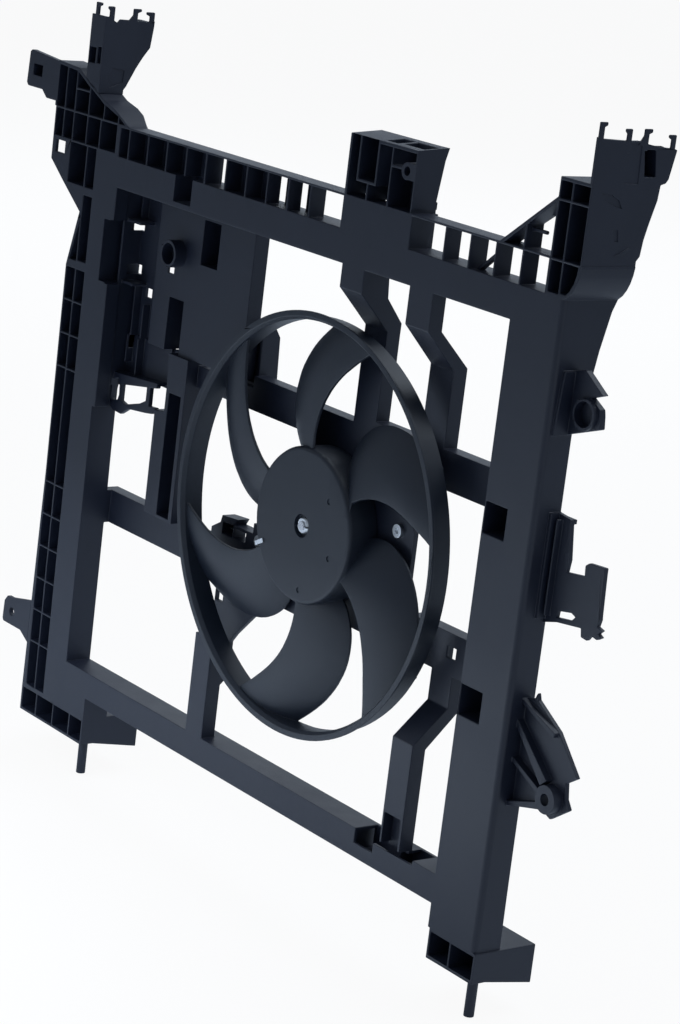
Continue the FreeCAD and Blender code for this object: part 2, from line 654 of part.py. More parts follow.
def module_bracket():
    """Deep recess under the module plate, closed below by a grid with three openings."""
    body = new_body("module_bracket")
    left, right, top = s.WindowLeft, size(-273), size(97)
    rear = s.CarrierFront + s.CarrierPlate
    shelf = size(58)
    grid = s.CarrierFront - 13
    add(body, "front", s.CarrierFront, s.CarrierPlate, rect(left, right, shelf, top))
    add(body, "front", grid, rear - grid, [(left, shelf - 3), (right, shelf + 3), (right, shelf + 6), (left, shelf)])
    add(body, "front", grid - 4, s.CarrierFront - grid + 5, rect(left, left + 3, 45, top))
    panel = [
        (left, 24), (left, shelf - 2), (right, shelf + 4), (right, 38), (-277, 33), (-290, 31), (-318, 28),
        (-331, 20), (-345, 21),
    ]
    add(body, "front", grid, 5, panel)
    openings = [
        [(-350, 32), (-347, 30), (-338, 33), (-336, 38), (-337, 52), (-341, 54), (-349, 51)],
        [(-333, 33), (-325, 31), (-300, 38), (-290, 43), (-290, 56), (-333, 49)],
        [(-284, 39), (-272, 40), (-272, 59), (-284, 57)],
    ]
    cut(body, "front", grid - 1, 8, *openings)
    add(body, "front", s.CarrierFront - 8, 9, rect(-322, -320, shelf + 2, top), rect(-341, -339, 70, top))
    return body


def left_stile():
    """Upright between the module plate and the lower rail."""
    body = new_body("left_stile")
    front = s.CarrierFront - 13
    add(body, "front", front, s.CarrierDepth + 13, rect(-273, -226, -62, 97))
    cut(body, "front", front, 22, rect(-252, -232, -59, 60))
    cut(body, "front", front, 16, [(-273, 98), (-273, 39), (-257, 41), (-257, 64), (-259, 98)])
    cut(body, "front", s.CarrierFront + 3, 28, rect(-270, -256, -59, 36))
    return body


def module_box():
    """Open-fronted compartment behind the fan ring, below the module plate."""
    body = new_body("module_box")
    front = s.CarrierFront + s.CarrierPlate
    side = [(front, 92), (front + 22, 92), (front + 20, 138), (front + 15, 146), (front + 6, 150), (front, 150)]
    add(body, "side", -168, 31, side)
    cut(body, "front", front, 13, rect(-165, -141, 95, 147))
    cut(body, "front", front, 2.2, rect(-150, -145.5, 146, 151))
    return body


def tabs():
    """Two ears on the left side, each with a hole."""
    upper = new_body("upper_left_tab")
    left = flange_left - 47
    outline = [
        (left, 302), (left - 18, 302), (left - 27, 309), (left - 54, 309), (left - 57, 312),
        (left - 55, 343), (left - 52, 345), (left, 341),
    ]
    add(upper, "front", 0, 6, outline)
    add(upper, "front", 6, 14, rect(left - 49, left - 26, 318, 335))
    cut(upper, "front", 0, 18, rect(left - 46, left - 29, 321, 332))
    lower = new_body("lower_left_tab")
    edge = flange_left - 5
    slope = 5 / (-60 - foot_top)
    outline = [
        (edge + slope * (-240 - foot_top), -240), (edge - 14, -232), (edge - 48, -232), (edge - 50, -229),
        (edge - 49, -210), (edge - 44, -204), (edge - 36, -204), (edge + slope * (-196 - foot_top), -196),
    ]
    add(lower, "front", 0, 5, outline)
    cut(lower, "front", 0, 5, (edge - 33, -218, 4.5))


def upper_boss_bracket():
    """Bracket on the right post with a deep round socket."""
    body = new_body("upper_boss_bracket")
    edge = post_right
    place = (edge + 22, size(180))
    outline = [
        (edge, 158), (edge + 39, 171.4), (edge + 37.8, 181.6), (edge + 36.5, 187), (edge + 24.5, 193.7),
        (edge + 38, 198.5), (edge + 14, 213.9), (edge, 210),
    ]
    add(body, "front", 20, 6, outline)
    add(body, "front", 16, 10, (*place, 13))
    add(body, "side", edge, 3, [(5.5, 158), (21, 158), (21, 210), (9, 210)])
    cut(body, "front", 14, 10, (*place, 10.5))
    return body


def hook_bracket():
    """Flat bracket on the right post with an upright hook, a small slot and a toothed foot."""
    body = new_body("hook_bracket")
    edge = post_right
    outline = [
        (edge, 2), (edge, 94), (edge + 17, 92), (edge + 21.4, 60), (edge + 20, 49.6), (edge + 41.3, 52.4),
        (edge + 40.6, 61.3), (edge + 44.8, 64.2), (edge + 63.7, 65.5), (edge + 63.7, 59.8), (edge + 65.5, 23.2),
        (edge + 64, 17.5), (edge + 70.7, 15.7), (edge + 66.5, 12), (edge + 70.7, 9.9), (edge + 65.4, 6.6),
        (edge + 58, 8), (edge + 54, 2.5), (edge + 46.7, 3.3), (edge + 45.3, 10.4), (edge + 16.5, 6.7),
    ]
    add(body, "front", 24, 4, outline)
    add(body, "front", 15, 10, rect(edge, edge + 3, 6, 94))
    add(body, "front", 18, 7, rect(edge + 6, edge + 8, 10, 90))
    add(body, "front", 26, 5, rect(edge, edge + 17, 88, 92))
    hole = [(edge + 15.5, 10.5), (edge + 33, 13), (edge + 37, 17), (edge + 32, 19), (edge + 16, 16)]
    cut(body, "front", 23, 6, hole)
    return body


def lower_boss_bracket():
    """Ribbed bracket on the right post with a smaller eye."""
    body = new_body("lower_boss_bracket")
    edge = post_right
    outline = [
        (edge, -154), (edge, -62), (edge + 9, -60), (edge + 12, -54), (edge + 14, -60), (edge + 44, -77.6),
        (edge + 71.7, -107.3), (edge + 60, -115), (edge + 62, -127.8), (edge + 67.7, -135.8),
        (edge + 46.6, -150.6), (edge + 35, -146.2), (edge + 12, -149.3),
    ]
    add(body, "front", 19, 4, outline)
    add(body, "front", 10, 10, (edge + 47, -132.5, 12))
    ribs = [
        [(edge, -86), (edge, -80), (edge + 44, -118), (edge + 37, -124)],
        [(edge, -116), (edge, -112), (edge + 38, -128), (edge + 37, -133)],
        [(edge, -154), (edge, -150), (edge + 37, -138), (edge + 42, -143)],
        [(edge, -66), (edge, -62), (edge + 44, -77.6), (edge + 43, -82)],
    ]
    for rib, front in zip(ribs, (12, 12, 12, 14)):
        add(body, "front", front, 20 - front, rib)
    cut(body, "front", 8, 24, (edge + 47, -132.5, 5))
    return body


def revolve(body, profile):
    """A ring or disc about the fan axis, from its outline in axial place and radius."""
    sketch = sketch_on(body, "side", 0)
    draw(sketch, [profile])
    turned = body.newObject("PartDesign::Revolution", body.Name + "_revolution")
    turned.Profile = sketch
    turned.ReferenceAxis = (sketch, ["H_Axis"])
    turned.Angle = 360.0
    return turned


def tube(label, inner, outer, start, length):
    """Plain ring about the fan axis."""
    body = new_body(label)
    revolve(body, [(start, inner), (start + length, inner), (start + length, outer), (start, outer)])
    return body


BLADE_COUNT = 6
# Blade stations: share of the way from hub to ring, angle of the front and of the rear edge
# from the blade's root line in degrees, and the axial places of the two edges.
BLADE_STATIONS = (
    (-0.015, 150.0, 185.0, 6.0, 27.0),
    (0.25, 148.5, 185.0, 5.5, 27.0),
    (0.47, 143.5, 178.5, 5.0, 26.0),
    (0.69, 137.0, 168.0, 4.5, 24.0),
    (0.88, 131.5, 157.0, 5.0, 22.0),
    (1.04, 127.2, 149.0, 5.5, 20.0),
)
BLADE_CAMBER = 0.07


def blade_section(body, station):
    """Cambered blade profile in a plane square to the radius through the blade's middle."""
    share, front_angle, rear_angle, front_y, rear_y = station
    middle = math.radians((front_angle + rear_angle) / 2)
    half = math.radians((rear_angle - front_angle) / 2)
    radius = s.HubRadius + (s.RingRadius - s.HubRadius - 6) * share
    reach = radius * math.cos(half)
    width = radius * math.sin(half)
    sketch = body.newObject("Sketcher::SketchObject", "blade_section")
    support = [item for item in body.Origin.OriginFeatures if item.Role == "YZ_Plane"][0]
    sketch.AttachmentSupport = (support, [""])
    sketch.MapMode = "FlatFace"
    turn = FreeCAD.Rotation(FreeCAD.Vector(1, 0, 0), -math.degrees(middle))
    sketch.AttachmentOffset = FreeCAD.Placement(FreeCAD.Vector(0, 0, 0), turn)
    bind(sketch, "AttachmentOffset.Base.y", reach * math.sin(middle))
    bind(sketch, "AttachmentOffset.Base.z", reach * math.cos(middle))
    chord = math.hypot(2 * width.value, rear_y - front_y)
    across = ((-2 * width.value) / chord, (rear_y - front_y) / chord)
    thick = s.BladeThickness / 2
    ends = ((front_y, -width), (rear_y, width))
    corners = []
    for sign in (1, -1):
        for y, x in ends:
            corners.append((size(y) + thick * (sign * across[0]), x + thick * (sign * across[1])))
    one, two, four, three = corners
    bulge = BLADE_CAMBER * chord
    ring = [one, two, three, four]
    points = [FreeCAD.Vector(x.value, y.value, 0) for x, y in ring]
    shift = FreeCAD.Vector(across[0] * bulge, across[1] * bulge, 0)
    sketch.addGeometry(Part.Arc(points[0], (points[0] + points[1]) / 2 + shift, points[1]))
    sketch.addGeometry(Part.LineSegment(points[1], points[2]))
    sketch.addGeometry(Part.Arc(points[2], (points[2] + points[3]) / 2 + shift, points[3]))
    sketch.addGeometry(Part.LineSegment(points[3], points[0]))
    return sketch


def fan_wheel():
    """Hub, six swept blades and the ring that joins their tips, in one moulding."""
    body = new_body("fan_wheel")
    front, back = s.HubFront, s.HubFront + s.HubDepth
    bore = s.ShaftRadius + s.SeatClearance
    wall = s.Wall
    hub = [
        (front + 4, bore), (front + 4, s.HubRecess), (front, s.HubRecess), (front, s.HubRadius - 4),
        (front + 1, s.HubRadius - 1.5), (front + 4, s.HubRadius),
        (back, s.HubRadius), (back, s.HubRadius - wall), (front + wall + 2, s.HubRadius - wall),
        (front + wall, s.HubRadius - wall - 2), (front + wall, s.HubRecess + 4), (front + 8, s.HubRecess + 3),
        (front + 8, bore),
    ]
    revolve(body, hub)
    blade = body.newObject("PartDesign::AdditiveLoft", "blade")
    sections = [blade_section(body, station) for station in BLADE_STATIONS]
    blade.Profile = sections[0]
    blade.Sections = sections[1:]
    doc.recompute()
    pattern = body.newObject("PartDesign::PolarPattern", "blades")
    pattern.Originals = [blade]
    pattern.Axis = ([item for item in body.Origin.OriginFeatures if item.Role == "Y_Axis"][0], [""])
    pattern.Angle = 360.0
    pattern.Occurrences = BLADE_COUNT
    body.Tip = pattern
    start, end = s.RingFront, s.RingFront + s.RingDepth
    outer = s.RingRadius - s.LipWidth + s.RingWall
    ring = [
        (start, s.RingRadius), (start + 2.6, s.RingRadius), (start + 2.6, outer + 2.5), (start + 5, outer),
        (end, outer), (end, outer - s.RingWall), (start + 4, outer - s.RingWall), (start, outer),
    ]
    revolve(body, ring)
    sketch = sketch_on(body, "side", 0)
    draw(sketch, [rect(start + 5, end + 10, outer, outer + 20)])
    trim = body.newObject("PartDesign::Groove", "blade_tip_trim")
    trim.Profile = sketch
    trim.ReferenceAxis = (sketch, ["H_Axis"])
    trim.Angle = 360.0
    cut(body, "front", front - 1, 1.8, (35.5, 31.3, 2.6), (43.8, -18, 2.6), (6.5, -57.3, 2.6))
    return body


def armature():
    """Rotor core with its poles, windings and commutator."""
    core = new_body("armature_core")
    bore = s.ShaftRadius + s.SeatClearance
    outer = s.CanRadius - s.CanWall - s.SeatClearance - s.MagnetThickness - s.AirGap
    start = core_start()
    add(core, "front", start, s.CoreLength, (0, 0, outer), (0, 0, bore))
    slot_low, slot_high = outer * 0.55, outer + 1
    slot = cut(core, "front", start, s.CoreLength, rect(-2.2, 2.2, slot_low, slot_high))
    doc.recompute()
    pattern = core.newObject("PartDesign::PolarPattern", "slots")
    pattern.Originals = [slot]
    pattern.Axis = ([item for item in core.Origin.OriginFeatures if item.Role == "Y_Axis"][0], [""])
    pattern.Angle = 360.0
    pattern.Occurrences = 12
    core.Tip = pattern
    windings = new_body("armature_windings")
    depth = 5
    low, high = s.BearingRadius + 5, outer - 5
    revolve(windings, [(start - depth, low), (start, low), (start, high), (start - depth + 2, high - 1),
                       (start - depth, high - 4)])
    tube("commutator", bore, s.CommutatorRadius, start + s.CoreLength + 1, 7)


def core_start():
    """Front of the armature core."""
    return s.CanFront + s.CanWall + s.BearingWidth + 3


def motor():
    """Can, end cover, bearings, magnets, brush gear and shaft."""
    front, wall = s.CanFront, s.CanWall
    back = front + s.CanLength
    can = new_body("motor_can")
    seat = s.BearingRadius + s.SeatClearance
    profile = [
        (front, s.ShaftRadius + 2), (front, s.CanRadius - 3), (front + 3, s.CanRadius), (back, s.CanRadius),
        (back, s.CanRadius - wall), (front + wall + 1, s.CanRadius - wall),
        (front + wall, s.CanRadius - wall - 1), (front + wall, seat + 2.5),
        (front + wall + s.BearingWidth, seat + 2.5), (front + wall + s.BearingWidth, seat),
        (front + wall, seat), (front + wall, s.ShaftRadius + 2),
    ]
    revolve(can, profile)
    cover = new_body("motor_end_cover")
    seat_start = back - s.BearingWidth
    profile = [
        (back + 3, 0), (back + 3, s.CanRadius - 2), (back + 1, s.CanRadius), (back, s.CanRadius),
        (back, s.CanRadius - wall - s.SeatClearance), (back - 3, s.CanRadius - wall - s.SeatClearance),
        (back - 3, s.CanRadius - wall - 3), (back, s.CanRadius - wall - 3), (back, seat + 2.5),
        (seat_start, seat + 2.5), (seat_start, seat), (back, seat), (back, 0),
    ]
    revolve(cover, profile)
    tube("front_bearing", s.ShaftRadius + s.RunningClearance, s.BearingRadius, front + wall, s.BearingWidth)
    tube("rear_bearing", s.ShaftRadius + s.RunningClearance, s.BearingRadius, seat_start, s.BearingWidth)
    shaft = new_body("motor_shaft")
    add(shaft, "front", s.HubFront - 0.5, back - s.HubFront, (0, 0, s.ShaftRadius))
    magnets()
    armature()
    brush_gear()
    return can


def magnets():
    """Four curved field magnets on the wall of the can."""
    outer = s.CanRadius - s.CanWall - s.SeatClearance
    inner = outer - s.MagnetThickness
    group = doc.addObject("Part::Feature", "field_magnets")
    pieces = []
    start = core_start().value - 1
    for index in range(4):
        ring = Part.makeCylinder(outer.value, s.CoreLength.value + 2, FreeCAD.Vector(0, start, 0),
                                 FreeCAD.Vector(0, 1, 0), 76)
        core = Part.makeCylinder(inner.value, s.CoreLength.value + 2, FreeCAD.Vector(0, start, 0),
                                 FreeCAD.Vector(0, 1, 0), 76)
        piece = ring.cut(core)
        piece.rotate(FreeCAD.Vector(0, 0, 0), FreeCAD.Vector(0, 1, 0), 90 * index + 7)
        pieces.append(piece)
    group.Shape = Part.makeCompound(pieces)
    group.Label = "field_magnets"
    to_datum(group)
    parts.append(group)


def brush_gear():
    """Brush card with four carbon brushes on the commutator, pressed by springs."""
    start = core_start() + s.CoreLength + 1
    outer = s.CanRadius - s.CanWall - s.SeatClearance
    card = new_body("brush_card")
    level = s.CanFront + s.CanLength - 3 - 2
    add(card, "front", level, 2, (0, 0, outer), (0, 0, s.CommutatorRadius + 3))
    reach = s.CommutatorRadius + 0.3
    for index, (x, z) in enumerate(((1, 0), (-1, 0), (0, 1), (0, -1))):
        low, high = (reach + 4, reach + 23)
        wide = 6.5
        sides = sorted((low.value * (x + z), high.value * (x + z)))
        if x:
            box = rect(sides[0], sides[1], -wide, wide)
            hole = rect(sides[0] + (1.5 if x < 0 else -1), sides[1] - (1.5 if x > 0 else -1), -4.5, 4.5)
        else:
            box = rect(-wide, wide, sides[0], sides[1])
            hole = rect(-4.5, 4.5, sides[0] + (1.5 if z < 0 else -1), sides[1] - (1.5 if z > 0 else -1))
        add(card, "front", start, level - start, box)
        cut(card, "front", start + 1.5, 6, hole)
    brushes = doc.addObject("Part::Feature", "brushes")
    springs = doc.addObject("Part::Feature", "brush_springs")
    blocks, coils = [], []
    for index in range(4):
        block = Part.makeBox(14, 5.5, 9.0, FreeCAD.Vector(reach.value, start.value + 1.5, -4.5))
        hollow = Part.makeCylinder(reach.value, 20, FreeCAD.Vector(0, start.value - 5, 0),
                                   FreeCAD.Vector(0, 1, 0))
        block = block.cut(hollow)
        coil = spring(reach.value + 14.0, 7.5, start.value + 4.5)
        for piece, store in ((block, blocks), (coil, coils)):
            piece.rotate(FreeCAD.Vector(0, 0, 0), FreeCAD.Vector(0, 1, 0), 90 * index)
            store.append(piece)
    for item, pieces, label in ((brushes, blocks, "brushes"), (springs, coils, "brush_springs")):
        item.Shape = Part.makeCompound(pieces)
        item.Label = label
        to_datum(item)
        parts.append(item)


def spring(start, length, level):
    """Close-wound brush spring, drawn as a stack of rings round its axis."""
    rings = []
    count = 4
    pitch = length / count
    for index in range(count):
        ring = Part.makeTorus(1.9, 0.55, FreeCAD.Vector(start + 0.6 + pitch * index, level, 0),
                              FreeCAD.Vector(1, 0, 0))
        rings.append(ring)
    rod = Part.makeCylinder(0.5, length, FreeCAD.Vector(start, level, 1.9), FreeCAD.Vector(1, 0, 0))
    return rod.multiFuse(rings)


def motor_mounting():
    """Flange ring with three ears on the can, screws and the bright shaft clip."""
    back = s.CarrierFront + s.CarrierPlate
    flange = new_body("motor_flange")
    ring = s.CanRadius + 9
    bore = s.CanRadius + s.SeatClearance
    add(flange, "front", back, s.FlangeThickness, (0, 0, ring))
    for x, z in SCREW_PLACES:
        length = math.hypot(x, z)
        side_x, side_z = -z / length, x / length
        inner = (ring.value - 3) / length
        outer = 1 + 9 / length
        ear = [
            (x * inner + side_x * 17, z * inner + side_z * 17), (x + side_x * 9, z + side_z * 9),
            (x * outer + side_x * 5, z * outer + side_z * 5), (x * outer - side_x * 5, z * outer - side_z * 5),
            (x - side_x * 9, z - side_z * 9), (x * inner - side_x * 17, z * inner - side_z * 17),
        ]
        add(flange, "front", back, s.FlangeThickness, ear)
        cut(flange, "front", back, s.FlangeThickness, (x, z, s.ScrewRadius + 0.3))
    cut(flange, "front", back, s.FlangeThickness, (0, 0, bore))
    screws = doc.addObject("Part::Feature", "motor_screws")
    pieces = []
    head_height = 3.5
    toward = FreeCAD.Vector(0, 1, 0)
    for x, z in SCREW_PLACES:
        base = FreeCAD.Vector(x, s.CarrierFront.value - head_height, z)
        head = Part.makeCylinder(6.0, head_height, base, toward)
        socket = Part.makeCylinder(2.6, 2, base, toward)
        shank = Part.makeCylinder(s.ScrewRadius.value, 16, base + toward * (head_height - 1), toward)
        pieces.append(head.fuse(shank).cut(socket))
    screws.Shape = Part.makeCompound(pieces)
    screws.Label = "motor_screws"
    to_datum(screws)
    parts.append(screws)
    clip = new_body("shaft_clip")
    profile = [
        (s.HubFront + 1, s.ShaftRadius + 0.05), (s.HubFront + 4, s.ShaftRadius + 0.05), (s.HubFront + 4, 7.6),
        (s.HubFront + 2.5, 7.6), (s.HubFront + 1, 6.4),
    ]
    revolve(clip, profile)
    cut(clip, "front", s.HubFront, 6, rect(4.5, 9, -0.8, 0.8), rect(-9, -4.5, -0.8, 0.8))


def balance_clip():
    """Small bright spring clip pushed over the hub's front edge to balance the wheel."""
    body = new_body("balance_clip")
    front = s.HubFront - 1.2
    out_x, out_z = -0.8836, -0.4683

    def corner(radius, along):
        return (radius * out_x + along * out_z, radius * out_z - along * out_x)

    def leaf(low, high):
        return [corner(low, -2), corner(low, 2), corner(high, 2), corner(high, -2)]

    add(body, "front", front, 1.2, leaf(s.HubRadius - 11, s.HubRadius + 1.2))
    add(body, "front", front, 3.2, leaf(s.HubRadius + 0.1, s.HubRadius + 1.2))


def connector():
    """Plug socket of the motor lead on the lower rail, with two blades inside."""
    body = new_body("connector_socket")
    front = s.CarrierFront
    shell = [
        (-178, -56), (-178, -51), (-164, -43), (-162, -36), (-137, -34), (-141, -40), (-112, -40), (-112, -62),
        (-178, -62),
    ]
    add(body, "front", front, 14, shell)
    cut(body, "front", front, 12, [(-160, -53), (-160, -42), (-143, -41), (-143, -53)])
    cut(body, "front", front - 1, 20, rect(-141, -122, -52, -43))
    terminals = doc.addObject("Part::Feature", "connector_terminals")
    blades = []
    for x in (-157.0, -150.5):
        blades.append(Part.makeBox(5.0, 6.5, 0.8, FreeCAD.Vector(x, front.value + 5.5, -47.4)))
    terminals.Shape = Part.makeCompound(blades)
    terminals.Label = "connector_terminals"
    to_datum(terminals)
    parts.append(terminals)


def build():
    """Every piece of the fan."""
    left_post()
    upper_left_corner()
    left_horn()
    top_beam()
    horn_gusset()
    centre_tower()
    right_post()
    right_horn()
    bottom_beam()
    ribs = [left_foot_right - 25, left_foot_right - 56, left_foot_right - 88]
    foot("left_foot", flange_left - 5, left_foot_right, left_peg, ribs[::-1])
    foot("right_foot", right_foot_left, right_foot_right, right_peg, [right_foot_left + 29])
    rails()
    struts()
    motor_carrier()
    module_plate()
    module_bracket()
    left_stile()
    module_box()
    tabs()
    upper_boss_bracket()
    hook_bracket()
    lower_boss_bracket()
    fan_wheel()
    motor()
    motor_mounting()
    balance_clip()
    connector()


def check_objects():
    """Stops if a feature failed or a piece has no good shape."""
    for item in doc.Objects:
        if "Invalid" in item.State or "Error" in item.State:
            raise RuntimeError(f"{item.Name} is in state {item.State}")
    for item in parts:
        if item.Shape.isNull() or not item.Shape.isValid():
            raise RuntimeError(f"{item.Label} has no valid shape")


def write_parts():
    """One STEP file for each piece."""
    os.makedirs("parts", exist_ok=True)
    for item in parts:
        item.Shape.exportStep(f"parts/{item.Label}.step")
        print(f"{item.Label}: {len(item.Shape.Solids)} solid(s), {item.Shape.Volume / 1000:.1f} cm3")


build()
doc.recompute()
check_objects()
write_parts()
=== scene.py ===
import json
import math

import bmesh
import bpy
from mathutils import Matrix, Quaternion, Vector


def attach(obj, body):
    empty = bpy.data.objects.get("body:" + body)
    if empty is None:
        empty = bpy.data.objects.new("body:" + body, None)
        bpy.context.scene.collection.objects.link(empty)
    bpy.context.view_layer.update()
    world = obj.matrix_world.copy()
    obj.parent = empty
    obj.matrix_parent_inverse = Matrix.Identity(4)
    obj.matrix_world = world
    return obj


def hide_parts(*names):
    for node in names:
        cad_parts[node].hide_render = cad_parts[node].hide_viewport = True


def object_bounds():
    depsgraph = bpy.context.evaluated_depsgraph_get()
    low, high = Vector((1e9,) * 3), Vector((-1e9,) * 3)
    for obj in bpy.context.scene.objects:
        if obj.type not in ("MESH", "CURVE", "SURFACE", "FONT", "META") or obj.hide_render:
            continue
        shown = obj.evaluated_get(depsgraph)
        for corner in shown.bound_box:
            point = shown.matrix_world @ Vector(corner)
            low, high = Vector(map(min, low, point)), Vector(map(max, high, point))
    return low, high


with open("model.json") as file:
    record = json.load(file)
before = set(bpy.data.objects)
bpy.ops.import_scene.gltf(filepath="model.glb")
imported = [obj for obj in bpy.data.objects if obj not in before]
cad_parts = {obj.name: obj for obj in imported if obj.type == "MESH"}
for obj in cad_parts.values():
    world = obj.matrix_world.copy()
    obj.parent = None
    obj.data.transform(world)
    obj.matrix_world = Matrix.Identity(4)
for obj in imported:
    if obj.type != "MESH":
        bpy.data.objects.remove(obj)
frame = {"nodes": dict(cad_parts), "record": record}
cad_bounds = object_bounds()

MM = 0.001
RECORD = frame["record"]
FAN_AXIS = Vector(RECORD["behaviour"]["joints"][0]["pos_m"])
FRONT_FACE_PLACE = -9.0 * MM
PANEL_FRONT = Vector((FAN_AXIS.x, FRONT_FACE_PLACE, FAN_AXIS.z))

CAMERA_PLACE = Vector((2.01966, -1.54852, 0.95345))
CAMERA_TURN = math.radians(51.767)
CAMERA_DOWN = math.radians(13.890)
CAMERA_ROLL = math.radians(6.975)
CAMERA_LENS = 104.18

MOULDED_NODES = (
    "left_post", "upper_left_corner", "left_horn", "top_beam", "horn_gusset", "centre_tower",
    "right_post", "right_horn", "bottom_beam", "left_foot", "right_foot",
    "upper_left_rail", "upper_right_rail", "lower_left_rail", "lower_right_rail",
    "upper_inner_strut", "upper_outer_strut", "lower_right_strut", "lower_left_strut",
    "motor_carrier", "module_plate", "module_bracket", "left_stile", "module_box",
    "upper_left_tab", "lower_left_tab", "upper_boss_bracket", "hook_bracket",
    "lower_boss_bracket", "connector_socket",
)

# Edges: radius on the panel and on the wheel, the share of the shortest neighbouring edge that a
# rounding may take, and the angles, in degrees, above which an edge is rounded or stays sharp.
PANEL_RADIUS = 0.9 * MM
WHEEL_RADIUS = 0.6 * MM
ROOM_SHARE = 0.42
ROUNDED_ABOVE = 28.0
MOULDING_SHARP_ABOVE = 38.0
NODE_SHARP_ABOVE = 35.0
BEVEL_SEGMENTS = 2

# Grid that divides the merged flat areas, and planes through the round bosses, so that no merged
# flat face surrounds a hole.
GRID_SPACING = 0.0437
GRID_START = 0.37
BOSS_PLANES = {0: (-0.2545, 0.3365, 0.0995), 2: (0.5016, 0.4906, 0.6416)}
FLAT_WITHIN = 1.0
COPY_MERGE = 0.002 * MM
FUSED_MERGE = 0.004 * MM
CUT_TOLERANCE = 0.001 * MM

# Seat of the lower right strut in the bottom beam, in millimetres from the fan axis and the
# panel's front face: the plate that closes its back, and the blocks that are cut away.
SEAT_BACK_PLATE = ((127, 24.5, -262.2), (214, 27.8, -236.2))
SEAT_CUTS = (
    ((130, -3, -249.5), (156, 24.5, -225)),
    ((155, -3, -240.5), (211, 4, -235.9)),
    ((155, 3, -249.5), (163.9, 24.5, -225)),
    ((192.1, 3, -249.5), (211, 24.5, -225)),
    ((155, 3, -249.5), (211, 11, -235.9)),
    ((166.5, -3, -240.5), (189.5, 11, -208)),
)

# Floor and light. A lamp has a name, a place, the point that it faces, a width and its watts.
WHITE = (1.0, 1.0, 1.0, 1.0)
SKY_COLOUR = (0.74, 0.85, 1.0, 1.0)
SKY_STRENGTH = 0.33
FLOOR_SIZE = 120.0
FLOOR_GAP = 0.002
FLOOR_COLOUR = (0.84, 0.88, 0.93, 1.0)
FLOOR_GLOW = 0.93
LAMP_COLOUR = (0.80, 0.89, 1.0)
MIDDLE = (0.0, 0.0, 0.3)
LAMPS = (
    ("key", (-1.4, -2.4, 1.6), MIDDLE, 1.6, 0.5),
    ("floor_front", (-0.25, -0.65, 0.26), (-0.25, -0.64, 0.0), 1.0, 4.5),
    ("top", (0.2, 0.9, 2.8), MIDDLE, 2.6, 40.0),
    ("rim", (-2.9, 2.3, 1.4), (-2.9, 2.31, 0.0), 2.6, 26.0),
    ("right", (2.6, -0.6, 0.4), MIDDLE, 1.2, 2.0),
)

# Sockets of the colour mix node: factor, both colours and the result.
MIX_FACTOR, MIX_FIRST, MIX_SECOND, MIX_RESULT = 0, 6, 7, 2


def make_camera():
    """Camera at the photograph's viewpoint."""
    data = bpy.data.cameras.new("camera")
    data.sensor_width = 36.0
    data.lens = CAMERA_LENS
    data.clip_start, data.clip_end = 0.05, 50.0
    camera = bpy.data.objects.new("camera", data)
    bpy.context.scene.collection.objects.link(camera)
    flat = math.cos(CAMERA_DOWN)
    ahead = Vector((
        -math.sin(CAMERA_TURN) * flat, math.cos(CAMERA_TURN) * flat, -math.sin(CAMERA_DOWN)))
    level = ahead.to_track_quat("-Z", "Y")
    camera.rotation_mode = "QUATERNION"
    camera.rotation_quaternion = level @ Quaternion((0, 0, 1), CAMERA_ROLL)
    camera.location = CAMERA_PLACE
    bpy.context.scene.camera = camera


class Socket:
    """A node's output that takes part in sums."""

    def __init__(self, finish, output):
        self.finish = finish
        self.output = output

    def _sum(self, operation, first, second):
        return self.finish.node("ShaderNodeMath", {"operation": operation}, {0: first, 1: second})

    def __add__(self, other):
        return self._sum("ADD", self, other)

    def __radd__(self, other):
        return self._sum("ADD", other, self)

    def __mul__(self, other):
        return self._sum("MULTIPLY", self, other)


class Finish:
    """A procedural material, built node by node."""

    def __init__(self, name):
        self.material = bpy.data.materials.new(name)
        self.material.use_nodes = True
        self.nodes = self.material.node_tree.nodes
        self.links = self.material.node_tree.links
        self.shader = self.nodes["Principled BSDF"]
        self.place = self.node("ShaderNodeTexCoord", {}, {}, "Object")

    def node(self, kind, settings, inputs, output=0):
        """Adds a node with its settings and the values or links of its sockets."""
        item = self.nodes.new(kind)
        for name, value in settings.items():
            setattr(item, name, value)
        for name, value in inputs.items():
            self.feed(item.inputs[name], value)
        return Socket(self, item.outputs[output])

    def feed(self, socket, value):
        """Links or sets one input."""
        if isinstance(value, Socket):
            self.links.new(value.output, socket)
        else:
            socket.default_value = value

    def set(self, **inputs):
        """Sets or links the shader's inputs, whose names are written with underscores."""
        for name, value in inputs.items():
            self.feed(self.shader.inputs[name.replace("_", " ")], value)

    def noise(self, scale, detail=3.0, roughness=0.5, stretch=(1, 1, 1)):
        """Noise in the object's own space, as a value about one half."""
        place = self.place
        if stretch != (1, 1, 1):
            place = self.node("ShaderNodeMapping", {}, {"Vector": place, "Scale": stretch})
        return self.node("ShaderNodeTexNoise", {}, {
            "Vector": place, "Scale": scale, "Detail": detail, "Roughness": roughness})

    def ramp(self, value, low, high, start=0.0, end=1.0):
        """Spreads a range of a value over another range."""
        return self.node("ShaderNodeMapRange", {}, {
            "Value": value, "From Min": low, "From Max": high, "To Min": start, "To Max": end})

    def mix(self, factor, first, second):
        """Blends two colours."""
        return self.node("ShaderNodeMix", {"data_type": "RGBA"}, {
            MIX_FACTOR: factor, MIX_FIRST: first, MIX_SECOND: second}, MIX_RESULT)

    def bump(self, height, strength, distance):
        """Raises the surface by a height."""
        self.set(Normal=self.node("ShaderNodeBump", {}, {
            "Height": height, "Strength": strength, "Distance": distance}))


def colour(red, green, blue):
    """A colour with full alpha."""
    return (red, green, blue, 1.0)


